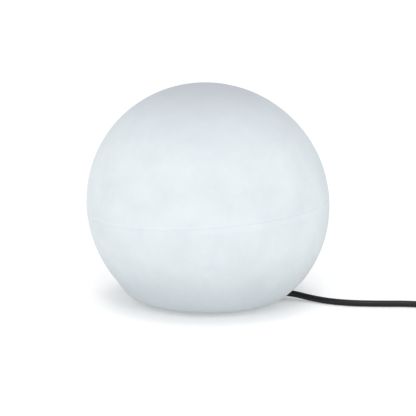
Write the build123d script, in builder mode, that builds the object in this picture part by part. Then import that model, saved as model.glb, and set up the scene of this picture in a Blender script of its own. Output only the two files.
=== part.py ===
from build123d import *
import os
from math import cos, pi, radians, sin, sqrt, tan

# Garden globe light: a moulded opal ball on a small base that carries a screw-in bulb and the mains cord.
# Millimetres. Origin on the ground under the middle of the ball, +Z up, +X to the cord's side.

# ---------------------------------------------------------------- driving dimensions

# Ball
globe_radius = 150.0
globe_wall = 3.0
corner_radius = 30.0          # between the ball and its flat underside
rim_width = 11.6              # flat ring of the underside, outside the recess
rim_edge_radius = 1.5
underside_gap = 2.0           # the rubber foot holds the underside this far off the ground
parting_tilt = 3.0            # degrees, the mould's parting line isn't quite level
parting_bead_radius = 0.8
parting_bead_height = 0.35
insert_radius = 4.0
insert_length = 10.0
insert_boss_wall = 3.0
insert_tip_room = 1.5

# Base moulding
base_radius = 68.0
base_wall = 2.5
base_side_clearance = 2.0     # between the base and the ball's recess
pan_wall = 3.0
pan_floor = 2.0
flange_height = 25.5          # underside of the flange
flange_thickness = 3.0
spigot_wall = 3.2
spigot_height = 3.5
spigot_clearance = 0.3
opening_radius = 50.0
rib_count = 12
rib_thickness = 2.0
rib_drop = 12.0
foot_wall = 1.0
foot_grip = 3.0
foot_edge_radius = 0.4
gasket_thickness = 2.0
gasket_inset = 0.5            # gasket from the ball's opening
gasket_edge = 2.5             # gasket from the base's side

# Screws that hold the ball down
globe_screw_radius = 2.5
globe_screw_length = 14.0
globe_screw_count = 4
globe_screw_turn = 45.0       # degrees from the cord's exit to the first screw
screw_hole_clearance = 0.25
screw_head_height = 3.6
screw_head_overhang = 2.2
screw_head_clearance = 0.3
screw_round_share = 0.4       # edge radius of a head, of its height
screw_point_share = 0.25      # chamfer of a shank, of its radius
screw_socket_share = 0.36     # socket's corner radius, of the head's radius
screw_socket_depth_share = 0.6

# Cord, gland and clamp
cord_radius = 4.0
cord_passage_clearance = 2.8  # round the cord where it passes the base and the ball
exit_azimuth = -8.0           # degrees from +X
exit_drop = 7.0               # degrees, the gland points a little down
gland_height = 15.0           # gland axis at the pan's outer face
pad_width = 25.0
pad_outward = 2.5
pad_inward = 2.5
pad_reach_up = 10.0
pad_reach_down = 12.4
gland_thread_radius = 8.0
gland_hex_flats = 20.0
gland_hex_length = 5.0
gland_washer_thickness = 1.0
gland_nose_radius = 7.2
gland_nose_length = 9.0
gland_nut_length = 17.0
gland_nut_hex_length = 8.0
gland_nut_tip_radius = 6.4
gland_bore_clearance = 0.2
gland_hex_step = 0.4          # the dome starts this far inside the hexagon's flats
gland_shoulder = 1.0
gland_nut_room = 1.2          # past the nose, inside the nut
gland_nut_cone = 2.3
gland_seal_lip = 0.8
gland_seal_edge = 0.4
gland_seal_taper = 0.2
gland_seal_wall = 1.8
gland_seal_length = 8.0
gland_end_gap = 2.5           # from the gland's tip to the base's skirt
locknut_thickness = 4.0
gland_thread_spare = 2.0
thread_clearance = 0.1
clamp_to_gland = 2.0          # the cord's clamp from the gland's inner end
clamp_length = 8.0
clamp_span = 26.0
clamp_bar_height = 5.5
clamp_gap = 1.0               # half the gap between the bar and its saddle
clamp_screw_spacing = 18.0
clamp_screw_radius = 1.5
clamp_screw_length = 14.0
small_head_radius = 2.8
small_head_height = 2.0
cord_end_spare = 2.0          # sheath past the clamp
saddle_depth = 14.5
lead_radius = 1.2
lead_offset = 1.7
lead_bend_radius = 4.5
lead_splay_radius = 2.2
lead_straight_end = 3.0
cut_spare = 1.0               # a cut runs this far past what it cuts

# Wiring cover and lampholder
cover_thickness = 3.0
cover_clearance = 0.3
cover_boss_radius = 14.0
cover_boss_height = 2.5
cover_screw_edge = 3.5        # a screw's middle from the spigot
cover_screw_count = 3
cover_screw_turn = 60.0       # degrees from the cord's exit to the first screw
cover_screw_boss_radius = 3.4
cover_screw_length = 9.0
cover_boss_drop = 5.0
nipple_radius = 5.0
nipple_bore_radius = 3.8
nipple_below = 3.5
nipple_nut_flats = 14.0
nipple_nut_thickness = 3.0
holder_radius = 19.5
holder_wall = 2.0
holder_neck_radius = 9.5
holder_neck_height = 7.5
holder_cap_height = 22.0
holder_cap_straight = 5.0
holder_sleeve_height = 36.0
holder_ledge = 1.0
holder_lip = 2.0
holder_mouth_radius = 15.6
holder_insert_floor = 6.0
shell_height = 26.0
shell_radius = 14.6
fit_gap = 0.1
terminal_width = 7.0
terminal_depth = 6.0
terminal_offset = 10.5
contact_strip_thickness = 0.8
contact_strip_width = 5.0
contact_strip_half = 8.0
contact_foot = 3.0
contact_slope = 2.5
contact_rise = 2.2

# Screw-in bulb
thread_pitch = 3.629
thread_root_radius = 12.15
thread_crest_radius = 13.2
thread_round_radius = 1.0
thread_turns = 4.5
screw_play = 0.2
bulb_tip_gap = 0.2
contact_button_radius = 4.75
contact_button_height = 1.0
insulator_height = 4.0
cap_height = 20.8
cap_wall = 0.85
cap_collar_height = 2.5
bulb_radius = 30.0
bulb_ball_above_tip = 78.0
bulb_wall = 1.2
bulb_split_above_tip = 62.8
housing_neck_radius = 13.4
housing_wall = 1.5
housing_plug_depth = 11.0
housing_waist_bulge = 0.8
housing_rim = 0.5             # housing outside the diffuser
housing_cone_slope = 0.35
led_board_thickness = 1.6
led_board_gap = 0.5
led_board_below_split = 3.0
led_count = 12
led_circle = 15.0
led_side = 2.8
led_height = 0.7
driver_board_width = 16.0
driver_board_thickness = 1.6
driver_board_height = 41.0
capacitor_radius = 4.6
capacitor_height = 13.0
choke_side = 7.5
choke_height = 9.0
driver_parts_drop = 6.0

# Free cord on the ground, chosen by eye; the first point is the gland's tip
floor_axis = cord_radius      # height of a cord that lies on the ground
coil_turns_radius = 56.0      # centre line of the outermost turn
coil_lane_count = 3.125       # turns in one layer
coil_layers = 2
coil_centre_x = 336.0
coil_centre_y = -1.0
coil_lead_in = 32.0           # straight start and end that the coil's solid keeps
cord_straight_start = 20.0    # in line with the gland, past its tip
coil_slack = 0.2
tie_width = 12.0
tie_thickness = 1.2
tie_clearance = 0.2
tie_buckle_height = 3.0
coil_edge_radius = 3.0

# Two-pin plug
plug_width = 36.0
plug_thickness = 26.0
plug_length = 42.0
plug_shoulder = 22.0
plug_rear_width = 20.0
plug_rear_thickness = 17.0
plug_corner_radius = 9.0
plug_rear_corner_radius = 7.0
plug_edge_radius = 1.5
boot_length = 30.0
boot_rear_radius = 5.2
boot_front_radius = 7.4
boot_ring_count = 5
boot_ring_depth = 0.8
boot_ring_width = 2.0
pin_radius = 2.4
pin_length = 19.0
pin_tip_radius = 0.96
pin_spacing = 19.0
pin_seat = 10.0
pin_seat_radius = 1.9         # inside the plug
plug_start_y = 55.0
plug_offset_x = 1.2

# ---------------------------------------------------------------- worked-out sizes

cord_diameter = 2 * cord_radius

# Ball: the corner's arc touches the sphere and the flat underside
recess_radius = base_radius + base_side_clearance
flat_radius = recess_radius + rim_width
underside_z = underside_gap
corner_z = underside_z + corner_radius
corner_reach = globe_radius - corner_radius
corner_drop = sqrt(corner_reach**2 - flat_radius**2)
globe_z = corner_z + corner_drop
flange_top = flange_height + flange_thickness
seat_z = flange_top + gasket_thickness
seat_top = seat_z + globe_wall
insert_boss_radius = insert_radius + insert_boss_wall
insert_boss_top = seat_z + insert_length + insert_tip_room + insert_boss_wall

# Base
base_bottom = underside_gap
skirt_inner = base_radius - base_wall
gland_outside = gland_washer_thickness + gland_hex_length + gland_nut_length
pad_outer = skirt_inner - gland_end_gap - gland_outside
pan_radius = pad_outer - pad_outward
pan_inner = pan_radius - pan_wall
pan_top = base_bottom + pan_floor
pad_inner = pan_inner - pad_inward
spigot_outer = opening_radius - spigot_clearance
spigot_inner = spigot_outer - spigot_wall
spigot_top = seat_z + spigot_height
globe_screw_circle = (opening_radius + skirt_inner) / 2
screw_head_radius = globe_screw_radius + screw_head_overhang
cover_screw_circle = spigot_inner - cover_screw_edge
first_globe_screw = exit_azimuth + globe_screw_turn
first_cover_screw = exit_azimuth + cover_screw_turn

# Lampholder heights
cover_top = flange_top + cover_thickness
holder_z = cover_top + cover_boss_height
holder_cap_top = holder_z + holder_cap_height
holder_top = holder_cap_top + holder_sleeve_height
insert_floor_top = holder_cap_top + holder_insert_floor
shell_top = insert_floor_top + shell_height
terminal_bottom = holder_cap_top - terminal_depth
nipple_top = holder_z + holder_neck_height + lead_radius
contact_top = insert_floor_top + contact_rise + contact_strip_thickness

# Bulb heights
bulb_tip = contact_top + bulb_tip_gap
insulator_bottom = bulb_tip + contact_button_height
cap_bottom = insulator_bottom + insulator_height
cap_top = cap_bottom + cap_height
bulb_ball_z = bulb_tip + bulb_ball_above_tip
bulb_split_z = bulb_tip + bulb_split_above_tip
bulb_split_radius = sqrt(bulb_radius**2 - (bulb_ball_z - bulb_split_z) ** 2)
thread_centre_radius = thread_crest_radius - thread_round_radius
thread_start = cap_bottom + thread_round_radius
groove_spare = thread_pitch
groove_start = thread_start - 3 * thread_pitch
groove_turns = 3 + round((shell_top - thread_start) / thread_pitch)

# Directions at the cord's exit: outward along the gland, to its left, and up square to both
azimuth = radians(exit_azimuth)
drop = radians(exit_drop)
exit_flat = Vector(cos(azimuth), sin(azimuth), 0)
exit_left = Vector(-sin(azimuth), cos(azimuth), 0)
exit_out = Vector(cos(azimuth) * cos(drop), sin(azimuth) * cos(drop), -sin(drop))
gland_root = exit_flat * pad_outer + Vector(0, 0, gland_height)


def exit_point(reach, left=0.0):
    """Point on the gland's axis at this distance out from the middle, or beside it."""
    return gland_root + exit_out * ((reach - pad_outer) / cos(drop)) + exit_left * left


def across_exit(reach):
    """Plane square to the gland's axis: X to the left, Y up, normal outward."""
    return Plane(origin=exit_point(reach), x_dir=exit_left, z_dir=exit_out)


gland_axis = Axis(gland_root, exit_out)
gland_section = Plane(origin=gland_root, x_dir=exit_out, z_dir=-exit_left)
gland_tip = gland_washer_thickness + gland_hex_length + gland_nut_length
gland_tip_reach = pad_outer + gland_tip * cos(drop)
gland_inside = locknut_thickness + gland_thread_spare
clamp_reach = pad_inner - (gland_inside + clamp_to_gland + clamp_length) * cos(drop)
cord_end_reach = clamp_reach - cord_end_spare

# Coil
coil_base = tie_thickness + tie_clearance
coil_inner_turn = coil_turns_radius - coil_lane_count * cord_diameter
coil_skin = cord_radius + coil_slack
coil_outer = coil_turns_radius + coil_skin
coil_inner = coil_inner_turn - coil_skin
coil_height = coil_layers * cord_diameter + 2 * coil_slack
coil_first_axis = coil_base + coil_skin
coil_last_axis = coil_base + coil_height - coil_skin
coil_entry_y = coil_centre_y - coil_turns_radius
coil_exit_x = coil_centre_x + coil_turns_radius
coil_in_start = Vector(coil_centre_x - coil_lead_in, coil_entry_y, coil_first_axis)
coil_out_end = Vector(coil_exit_x, coil_centre_y + coil_lead_in, coil_last_axis)

# Plug
plug_x = coil_exit_x + plug_offset_x
plug_z = plug_thickness / 2
plug_rear_y = plug_start_y + boot_length

# The cord's two open stretches, point by point
cord_route = [
    exit_point(gland_tip_reach),
    exit_point(gland_tip_reach + cord_straight_start),
    Vector(107.0, -12.8, 7.6),
    Vector(124.0, -22.2, 5.2),
    Vector(148.0, -36.6, floor_axis),
    Vector(178.0, -46.2, floor_axis),
    Vector(212.0, -48.3, floor_axis),
    Vector(246.0, -48.0, floor_axis),
    Vector(277.0, coil_entry_y, coil_first_axis),
    coil_in_start,
]
tail_route = [
    coil_out_end,
    Vector(coil_exit_x, 37.0, coil_last_axis),
    Vector(plug_x, 48.0, plug_z),
    Vector(plug_x, plug_start_y, plug_z),
]


def bend_radii(points):
    """Largest even arcs: each takes 0.45 of the shorter of its two runs."""
    radii = []
    for before, corner, after in zip(points, points[1:], points[2:]):
        turn = (corner - before).get_angle(after - corner)
        shorter = min((corner - before).length, (after - corner).length)
        radii.append(0.45 * shorter / tan(radians(turn) / 2))
    return radii


def screw_with_socket(radius, length, head_radius, head_height):
    """Round-headed socket screw: head above z = 0, shank below it."""
    with BuildPart() as screw:
        with BuildSketch():
            Circle(head_radius)
        extrude(amount=head_height)
        fillet(screw.edges().group_by(Axis.Z)[-1], radius=screw_round_share * head_height)
        with BuildSketch():
            Circle(radius)
        extrude(amount=-length)
        chamfer(screw.edges().group_by(Axis.Z)[0], length=screw_point_share * radius)
        with BuildSketch(Plane.XY.offset(head_height)):
            RegularPolygon(radius=screw_socket_share * head_radius, side_count=6)
        extrude(amount=-screw_socket_depth_share * head_height, mode=Mode.SUBTRACT)
    return screw.part


def cord_passage(wall=0.0):
    """Slot round the cord, open to the ground; what the cord passes through is cut by it."""
    half = cord_radius + cord_passage_clearance + wall
    with BuildPart() as passage:
        with BuildSketch(across_exit(skirt_inner - foot_wall)):
            Circle(half)
            with Locations((0, -half)):
                Rectangle(2 * half, 2 * half)
        extrude(amount=globe_radius)
    return passage.part


# ---------------------------------------------------------------- ball

def globe_outline(inset):
    """Sphere and corner arc in half section, this far inside the outer skin."""
    reach = globe_radius - inset
    touch = (reach * flat_radius / corner_reach, globe_z - reach * corner_drop / corner_reach)
    corner_end = (flat_radius, underside_z + inset)
    on_45 = reach / sqrt(2)
    ThreePointArc((0, globe_z + reach), (on_45, globe_z + on_45), (reach, globe_z))
    RadiusArc((reach, globe_z), touch, reach)
    RadiusArc(touch, corner_end, corner_radius - inset)
    return corner_end


with BuildPart() as globe_air:
    with BuildSketch(Plane.XZ):
        with BuildLine():
            corner_end = globe_outline(globe_wall)
            Polyline(
                corner_end,
                (recess_radius + globe_wall, underside_z + globe_wall),
                (recess_radius + globe_wall, seat_top),
                (0, seat_top),
                (0, globe_z + globe_radius - globe_wall),
            )
        make_face()
    revolve(axis=Axis.Z)
    with BuildSketch(Plane.XY.offset(seat_top)):
        with PolarLocations(globe_screw_circle, globe_screw_count, first_globe_screw):
            Circle(insert_boss_radius)
        Circle(opening_radius, mode=Mode.SUBTRACT)
    extrude(amount=insert_boss_top - seat_top, mode=Mode.SUBTRACT)
    add(cord_passage(globe_wall), mode=Mode.SUBTRACT)

with BuildPart() as globe_shell:
    with BuildSketch(Plane.XZ) as globe_section:
        with BuildLine():
            corner_end = globe_outline(0)
            Polyline(
                corner_end,
                (recess_radius, underside_z),
                (recess_radius, seat_z),
                (opening_radius, seat_z),
                (opening_radius, seat_top),
                (0, seat_top),
                (0, globe_z + globe_radius),
            )
        make_face()
        rim_corners = globe_section.vertices().group_by(Axis.Y)[0]
        fillet(rim_corners.sort_by(Axis.X)[0], radius=rim_edge_radius)
    revolve(axis=Axis.Z)
    add(globe_air.part, mode=Mode.SUBTRACT)
    add(cord_passage(), mode=Mode.SUBTRACT)
    with BuildSketch(Plane.XY.offset(seat_z)):
        with PolarLocations(globe_screw_circle, globe_screw_count, first_globe_screw):
            Circle(insert_radius)
    extrude(amount=insert_length + insert_tip_room, mode=Mode.SUBTRACT)
    bead_ring_radius = globe_radius + parting_bead_height - parting_bead_radius
    with Locations(Location((0, 0, globe_z), (0, -parting_tilt, 0))):
        Torus(bead_ring_radius, parting_bead_radius)

with BuildPart() as threaded_inserts:
    with BuildSketch(Plane.XY.offset(seat_z)):
        with PolarLocations(globe_screw_circle, globe_screw_count, first_globe_screw):
            Circle(insert_radius)
            Circle(globe_screw_radius + thread_clearance, mode=Mode.SUBTRACT)
    extrude(amount=insert_length)

# ---------------------------------------------------------------- base moulding

with BuildPart() as base_skirt:
    with BuildSketch(Plane.XY.offset(base_bottom)):
        Circle(base_radius)
        Circle(skirt_inner, mode=Mode.SUBTRACT)
    extrude(amount=flange_height - base_bottom)
    add(cord_passage(), mode=Mode.SUBTRACT)

with BuildPart() as base_plate:
    with BuildSketch(Plane.XZ):
        with BuildLine():
            Polyline(
                (pan_radius, flange_height),
                (base_radius, flange_height),
                (base_radius, flange_top),
                (spigot_outer, flange_top),
                (spigot_outer, spigot_top),
                (spigot_inner, spigot_top),
                (spigot_inner, flange_top),
                (pan_radius, flange_top),
                close=True,
            )
        make_face()
    revolve(axis=Axis.Z)
    # ribs between the pan and the skirt, left out where the gland lies, and bosses for the cover's screws
    with BuildSketch(Plane.XY.offset(flange_height)):
        rib_middle = (pan_radius + skirt_inner) / 2
        rib_step = 360 / rib_count
        rib_sweep = 360 - 2 * rib_step
        with PolarLocations(rib_middle, rib_count - 1, exit_azimuth + rib_step, rib_sweep, endpoint=True):
            Rectangle(skirt_inner - pan_radius + base_wall, rib_thickness)
    extrude(amount=-rib_drop)
    add(base_skirt, mode=Mode.SUBTRACT)
    with BuildSketch(Plane.XY.offset(flange_height)):
        with PolarLocations(cover_screw_circle, cover_screw_count, first_cover_screw):
            Circle(cover_screw_boss_radius)
    extrude(amount=-cover_boss_drop)
    with BuildSketch(Plane.XY.offset(flange_top)):
        Circle(pan_radius)
    extrude(amount=-flange_top, mode=Mode.SUBTRACT)
    # room for the heads of the ball's screws, also where the flange is narrow
    with BuildSketch(Plane.XY.offset(flange_height)):
        with PolarLocations(globe_screw_circle, globe_screw_count, first_globe_screw):
            Circle(screw_head_radius + screw_head_clearance)
    extrude(amount=-screw_head_height, mode=Mode.SUBTRACT)
    add(cord_passage(), mode=Mode.SUBTRACT)
    with Locations(Plane.XY.offset(flange_top)):
        with PolarLocations(globe_screw_circle, globe_screw_count, first_globe_screw):
            Hole(globe_screw_radius + screw_hole_clearance, depth=flange_thickness)
        with PolarLocations(cover_screw_circle, cover_screw_count, first_cover_screw):
            Hole(clamp_screw_radius, depth=cover_screw_length - cover_thickness)

with BuildPart() as base_pan:
    with BuildSketch(Plane.XZ):
        with BuildLine():
            Polyline(
                (0, base_bottom),
                (pan_radius, base_bottom),
                (pan_radius, flange_top),
                (pan_inner, flange_top),
                (pan_inner, pan_top),
                (0, pan_top),
                close=True,
            )
        make_face()
    revolve(axis=Axis.Z)
    # flat pad for the gland, and the saddle that the cord is clamped on
    pad_height = pad_reach_up + pad_reach_down
    with BuildSketch(across_exit(pad_inner)):
        with Locations((0, (pad_reach_up - pad_reach_down) / 2)):
            Rectangle(pad_width, pad_height)
    extrude(amount=(pad_outer - pad_inner) / cos(drop))
    with BuildSketch(across_exit(clamp_reach)):
        with Locations((0, -(saddle_depth + clamp_gap) / 2)):
            Rectangle(clamp_span, saddle_depth - clamp_gap)
    extrude(amount=clamp_length)
    with BuildSketch(across_exit(clamp_reach - clamp_length)):
        Circle(cord_radius)
    extrude(amount=3 * clamp_length, mode=Mode.SUBTRACT)
    with BuildSketch(across_exit(pad_inner - cut_spare)):
        Circle(gland_thread_radius + thread_clearance)
    extrude(amount=(pad_outer - pad_inner + 2 * cut_spare) / cos(drop), mode=Mode.SUBTRACT)
    # holes for the clamp's screws, and for the cover's where they meet the pan
    clamp_middle = exit_point(clamp_reach + clamp_length / 2)
    clamp_top = Plane(clamp_middle, x_dir=exit_left, z_dir=exit_out.cross(exit_left))
    with Locations(clamp_top.offset(-clamp_gap)):
        with GridLocations(clamp_screw_spacing, 1, 2, 1):
            Hole(clamp_screw_radius, depth=clamp_screw_length - clamp_bar_height)
    with Locations(Plane.XY.offset(flange_top)):
        with PolarLocations(cover_screw_circle, cover_screw_count, first_cover_screw):
            Hole(clamp_screw_radius, depth=cover_screw_length - cover_thickness)

with BuildPart() as foot_ring:
    with BuildSketch(Plane.XZ):
        with BuildLine():
            foot_top = base_bottom + foot_grip
            Polyline(
                (skirt_inner - foot_wall, 0),
                (base_radius + foot_wall, 0),
                (base_radius + foot_wall, foot_top),
                (base_radius, foot_top),
                (base_radius, base_bottom),
                (skirt_inner, base_bottom),
                (skirt_inner, foot_top),
                (skirt_inner - foot_wall, foot_top),
                close=True,
            )
        make_face()
    revolve(axis=Axis.Z)
    fillet(foot_ring.edges().group_by(Axis.Z)[0], radius=foot_edge_radius)
    add(cord_passage(), mode=Mode.SUBTRACT)

with BuildPart() as base_gasket:
    with BuildSketch(Plane.XY.offset(flange_top)):
        Circle(base_radius - gasket_edge)
        Circle(opening_radius + gasket_inset, mode=Mode.SUBTRACT)
        with PolarLocations(globe_screw_circle, globe_screw_count, first_globe_screw):
            Circle(globe_screw_radius + screw_hole_clearance, mode=Mode.SUBTRACT)
    extrude(amount=gasket_thickness)

globe_screw = screw_with_socket(
    globe_screw_radius, globe_screw_length, screw_head_radius, screw_head_height
)
with BuildPart() as globe_screws:
    with Locations(Location((0, 0, flange_height), (180, 0, 0))):
        with PolarLocations(globe_screw_circle, globe_screw_count, -first_globe_screw):
            add(globe_screw)

# ---------------------------------------------------------------- cord gland, on its tilted axis

with BuildPart() as gland_washer:
    with BuildSketch(across_exit(pad_outer)):
        Circle(gland_hex_flats / 2)
        Circle(gland_thread_radius, mode=Mode.SUBTRACT)
    extrude(amount=gland_washer_thickness)

body_start = gland_washer_thickness
body_face = body_start + gland_hex_length
pad_depth = (pad_outer - pad_inner) / cos(drop)
stub_end = -pad_depth - gland_inside
gland_bore = cord_radius + gland_bore_clearance
nose_bore = cord_radius + gland_seal_wall
nose_end = body_face + gland_nose_length
seal_start = nose_end - gland_seal_length

with BuildPart() as gland_body:
    with BuildSketch(gland_section):
        with BuildLine():
            Polyline(
                (stub_end, gland_bore),
                (stub_end, gland_thread_radius),
                (body_face, gland_thread_radius),
                (body_face, gland_nose_radius),
                (nose_end, gland_nose_radius),
                (nose_end, nose_bore),
                (seal_start, nose_bore),
                (seal_start, gland_bore),
                close=True,
            )
        make_face()
    revolve(axis=gland_axis)
    with BuildSketch(across_exit(pad_outer + body_start * cos(drop))):
        RegularPolygon(gland_hex_flats / 2, 6, major_radius=False)
        Circle(gland_bore, mode=Mode.SUBTRACT)
    extrude(amount=gland_hex_length)

with BuildPart() as gland_seal:
    with BuildSketch(gland_section):
        with BuildLine():
            Polyline(
                (seal_start, cord_radius),
                (seal_start, nose_bore),
                (nose_end, nose_bore),
                (nose_end, gland_nose_radius - gland_seal_edge),
                (nose_end + gland_seal_lip, gland_nose_radius - gland_seal_edge - gland_seal_taper),
                (nose_end + gland_seal_lip, cord_radius),
                close=True,
            )
        make_face()
    revolve(axis=gland_axis)

nut_end = body_face + gland_nut_length
nut_hex_end = body_face + gland_nut_hex_length
nut_bore = gland_nose_radius + thread_clearance
nut_dome_root = gland_hex_flats / 2 - gland_hex_step
nut_shoulder = (nut_hex_end + gland_shoulder, nut_dome_root - gland_hex_step)
nut_room_end = nose_end + gland_nut_room
with BuildPart() as gland_nut:
    with BuildSketch(across_exit(pad_outer + body_face * cos(drop))):
        RegularPolygon(gland_hex_flats / 2, 6, major_radius=False)
    extrude(amount=gland_nut_hex_length)
    with BuildSketch(gland_section):
        with BuildLine():
            Polyline(
                (nut_hex_end, 0),
                (nut_hex_end, nut_dome_root),
                nut_shoulder,
            )
            RadiusArc(nut_shoulder, (nut_end, gland_nut_tip_radius), 2 * gland_nut_length)
            Polyline((nut_end, gland_nut_tip_radius), (nut_end, 0), (nut_hex_end, 0))
        make_face()
    revolve(axis=gland_axis)
    with BuildSketch(gland_section):
        with BuildLine():
            Polyline(
                (body_face, 0),
                (body_face, nut_bore),
                (nut_room_end, nut_bore),
                (nut_room_end + gland_nut_cone, gland_bore),
                (nut_end, gland_bore),
                (nut_end, 0),
                close=True,
            )
        make_face()
    revolve(axis=gland_axis, mode=Mode.SUBTRACT)

with BuildPart() as gland_locknut:
    with BuildSketch(across_exit(pad_inner)):
        RegularPolygon(gland_hex_flats / 2, 6, major_radius=False)
        Circle(gland_thread_radius, mode=Mode.SUBTRACT)
    extrude(amount=-locknut_thickness)

# ---------------------------------------------------------------- cord inside the base, its clamp and its cores

with BuildPart() as cord_entry:
    with BuildSketch(across_exit(cord_end_reach)):
        Circle(cord_radius)
    extrude(amount=(gland_tip_reach - cord_end_reach) / cos(drop))

with BuildPart() as cord_clamp:
    with BuildSketch(across_exit(clamp_reach)):
        with Locations((0, clamp_gap + clamp_bar_height / 2)):
            Rectangle(clamp_span, clamp_bar_height)
        Circle(cord_radius, mode=Mode.SUBTRACT)
    extrude(amount=clamp_length)
    with Locations(clamp_top.offset(clamp_gap + clamp_bar_height)):
        with GridLocations(clamp_screw_spacing, 1, 2, 1):
            Hole(clamp_screw_radius)

clamp_screw = screw_with_socket(
    clamp_screw_radius, clamp_screw_length, small_head_radius, small_head_height
)
with BuildPart() as clamp_screws:
    with Locations(clamp_top.offset(clamp_gap + clamp_bar_height)):
        with GridLocations(clamp_screw_spacing, 1, 2, 1):
            add(clamp_screw)


def core_lead(side):
    """One insulated core, from the cord's end up through the hollow nipple to its terminal."""
    start = exit_point(cord_end_reach, side * lead_offset)
    knee = exit_point(0, side * lead_offset)
    across = exit_left * side
    foot = Vector(0, 0, nipple_top + lead_radius) + across * lead_offset
    splay = Vector(0, 0, terminal_bottom - lead_straight_end) + across * terminal_offset
    end = Vector(0, 0, terminal_bottom) + across * terminal_offset
    radii = [lead_bend_radius, lead_splay_radius, lead_splay_radius]
    with BuildPart() as lead:
        with BuildLine():
            route = FilletPolyline(start, knee, foot, splay, end, radius=radii)
        with BuildSketch(Plane(route @ 0, z_dir=route % 0)):
            Circle(lead_radius)
        sweep(path=route)
    return lead


live_lead = core_lead(1)
neutral_lead = core_lead(-1)

# ---------------------------------------------------------------- wiring cover and lampholder

with BuildPart() as wiring_cover:
    with BuildSketch(Plane.XY.offset(flange_top)):
        Circle(spigot_inner - cover_clearance)
    extrude(amount=cover_thickness)
    with BuildSketch(Plane.XY.offset(cover_top)):
        Circle(cover_boss_radius)
    extrude(amount=cover_boss_height)
    chamfer(wiring_cover.edges().group_by(Axis.Z)[-1], length=0.4 * cover_boss_height)
    with Locations(Plane.XY.offset(holder_z)):
        Hole(nipple_radius)
    with Locations(Plane.XY.offset(cover_top)):
        with PolarLocations(cover_screw_circle, cover_screw_count, first_cover_screw):
            Hole(clamp_screw_radius, depth=cover_thickness)

cover_screw = screw_with_socket(
    clamp_screw_radius, cover_screw_length, small_head_radius, small_head_height
)
with BuildPart() as cover_screws:
    with Locations(Plane.XY.offset(cover_top)):
        with PolarLocations(cover_screw_circle, cover_screw_count, first_cover_screw):
            add(cover_screw)

with BuildPart() as holder_nipple:
    with BuildSketch(Plane.XY.offset(flange_top - nipple_below)):
        Circle(nipple_radius)
        Circle(nipple_bore_radius, mode=Mode.SUBTRACT)
    extrude(amount=nipple_top - flange_top + nipple_below)

with BuildPart() as nipple_nut:
    with BuildSketch(Plane.XY.offset(flange_top - nipple_nut_thickness)):
        RegularPolygon(nipple_nut_flats / 2, 6, major_radius=False)
        Circle(nipple_radius, mode=Mode.SUBTRACT)
    extrude(amount=nipple_nut_thickness)

holder_inner = holder_radius - holder_wall
ledge_radius = holder_inner - holder_ledge
with BuildPart() as holder_cap:
    with BuildSketch(Plane.XZ):
        with BuildLine():
            cone_start = holder_z + holder_neck_height
            cone_end = holder_cap_top - holder_cap_straight
            Polyline(
                (nipple_radius, holder_z),
                (holder_neck_radius, holder_z),
                (holder_neck_radius, cone_start - holder_wall),
                (holder_radius, cone_end - holder_wall),
                (holder_radius, holder_cap_top),
                (ledge_radius, holder_cap_top),
                (ledge_radius, cone_end),
                (holder_neck_radius - holder_wall, cone_start),
                (nipple_radius, cone_start),
                close=True,
            )
        make_face()
    revolve(axis=Axis.Z)

with BuildPart() as holder_sleeve:
    with BuildSketch(Plane.XZ):
        with BuildLine():
            Polyline(
                (holder_inner, holder_cap_top),
                (holder_radius, holder_cap_top),
                (holder_radius, holder_top - holder_lip / 2),
                (holder_radius - holder_lip / 2, holder_top),
                (holder_mouth_radius, holder_top),
                (holder_mouth_radius, holder_top - holder_lip),
                (holder_inner, holder_top - holder_lip),
                close=True,
            )
        make_face()
    revolve(axis=Axis.Z)

with BuildPart() as holder_insert:
    with BuildSketch(Plane.XY.offset(holder_cap_top)):
        Circle(holder_inner - fit_gap)
    extrude(amount=holder_insert_floor)
    with BuildSketch(Plane.XY.offset(insert_floor_top)):
        Circle(holder_inner - fit_gap)
        Circle(shell_radius + fit_gap, mode=Mode.SUBTRACT)
    extrude(amount=shell_height)

with BuildPart() as holder_terminals:
    with BuildSketch(Plane.XY.offset(terminal_bottom)):
        for side in (1, -1):
            with Locations(exit_left * (side * terminal_offset)):
                Rectangle(terminal_width, terminal_width, rotation=exit_azimuth)
    extrude(amount=terminal_depth)
    fillet(holder_terminals.edges().filter_by(Axis.Z), radius=0.1 * terminal_width)

with BuildPart() as holder_contact:
    with BuildSketch(Plane.XZ):
        with BuildLine():
            strip = contact_strip_thickness
            foot_end = contact_strip_half - contact_foot
            rise_end = foot_end - contact_slope
            low = insert_floor_top
            high = insert_floor_top + contact_rise
            Polyline(
                (-contact_strip_half, low),
                (-foot_end, low),
                (-rise_end, high),
                (rise_end, high),
                (foot_end, low),
                (contact_strip_half, low),
                (contact_strip_half, low + strip),
                (foot_end + strip / 2, low + strip),
                (rise_end + strip / 2, high + strip),
                (-rise_end - strip / 2, high + strip),
                (-foot_end - strip / 2, low + strip),
                (-contact_strip_half, low + strip),
                close=True,
            )
        make_face()
    extrude(amount=contact_strip_width / 2, both=True)


def round_thread(start, turns, play=0.0):
    """Rounded helical bead of the lamp thread, thicker all round by the play."""
    with BuildPart() as bead:
        with BuildLine(Plane.XY.offset(start)):
            helix = Helix(thread_pitch, turns * thread_pitch, thread_centre_radius)
        with BuildSketch(Plane(helix @ 0, z_dir=helix % 0)):
            Circle(thread_round_radius + play)
        sweep(path=helix, is_frenet=True)
    return bead.part


with BuildPart() as holder_shell:
    # the groove is cut right through a longer tube, which is then trimmed at both ends
    with BuildSketch(Plane.XY.offset(insert_floor_top - groove_spare)):
        Circle(shell_radius)
        Circle(thread_root_radius + screw_play, mode=Mode.SUBTRACT)
    extrude(amount=shell_height + 3 * groove_spare)
    add(round_thread(groove_start, groove_turns, screw_play), mode=Mode.SUBTRACT)
    split(bisect_by=Plane.XY.offset(insert_floor_top), keep=Keep.TOP)
    split(bisect_by=Plane.XY.offset(shell_top), keep=Keep.BOTTOM)

# ---------------------------------------------------------------- bulb

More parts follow.
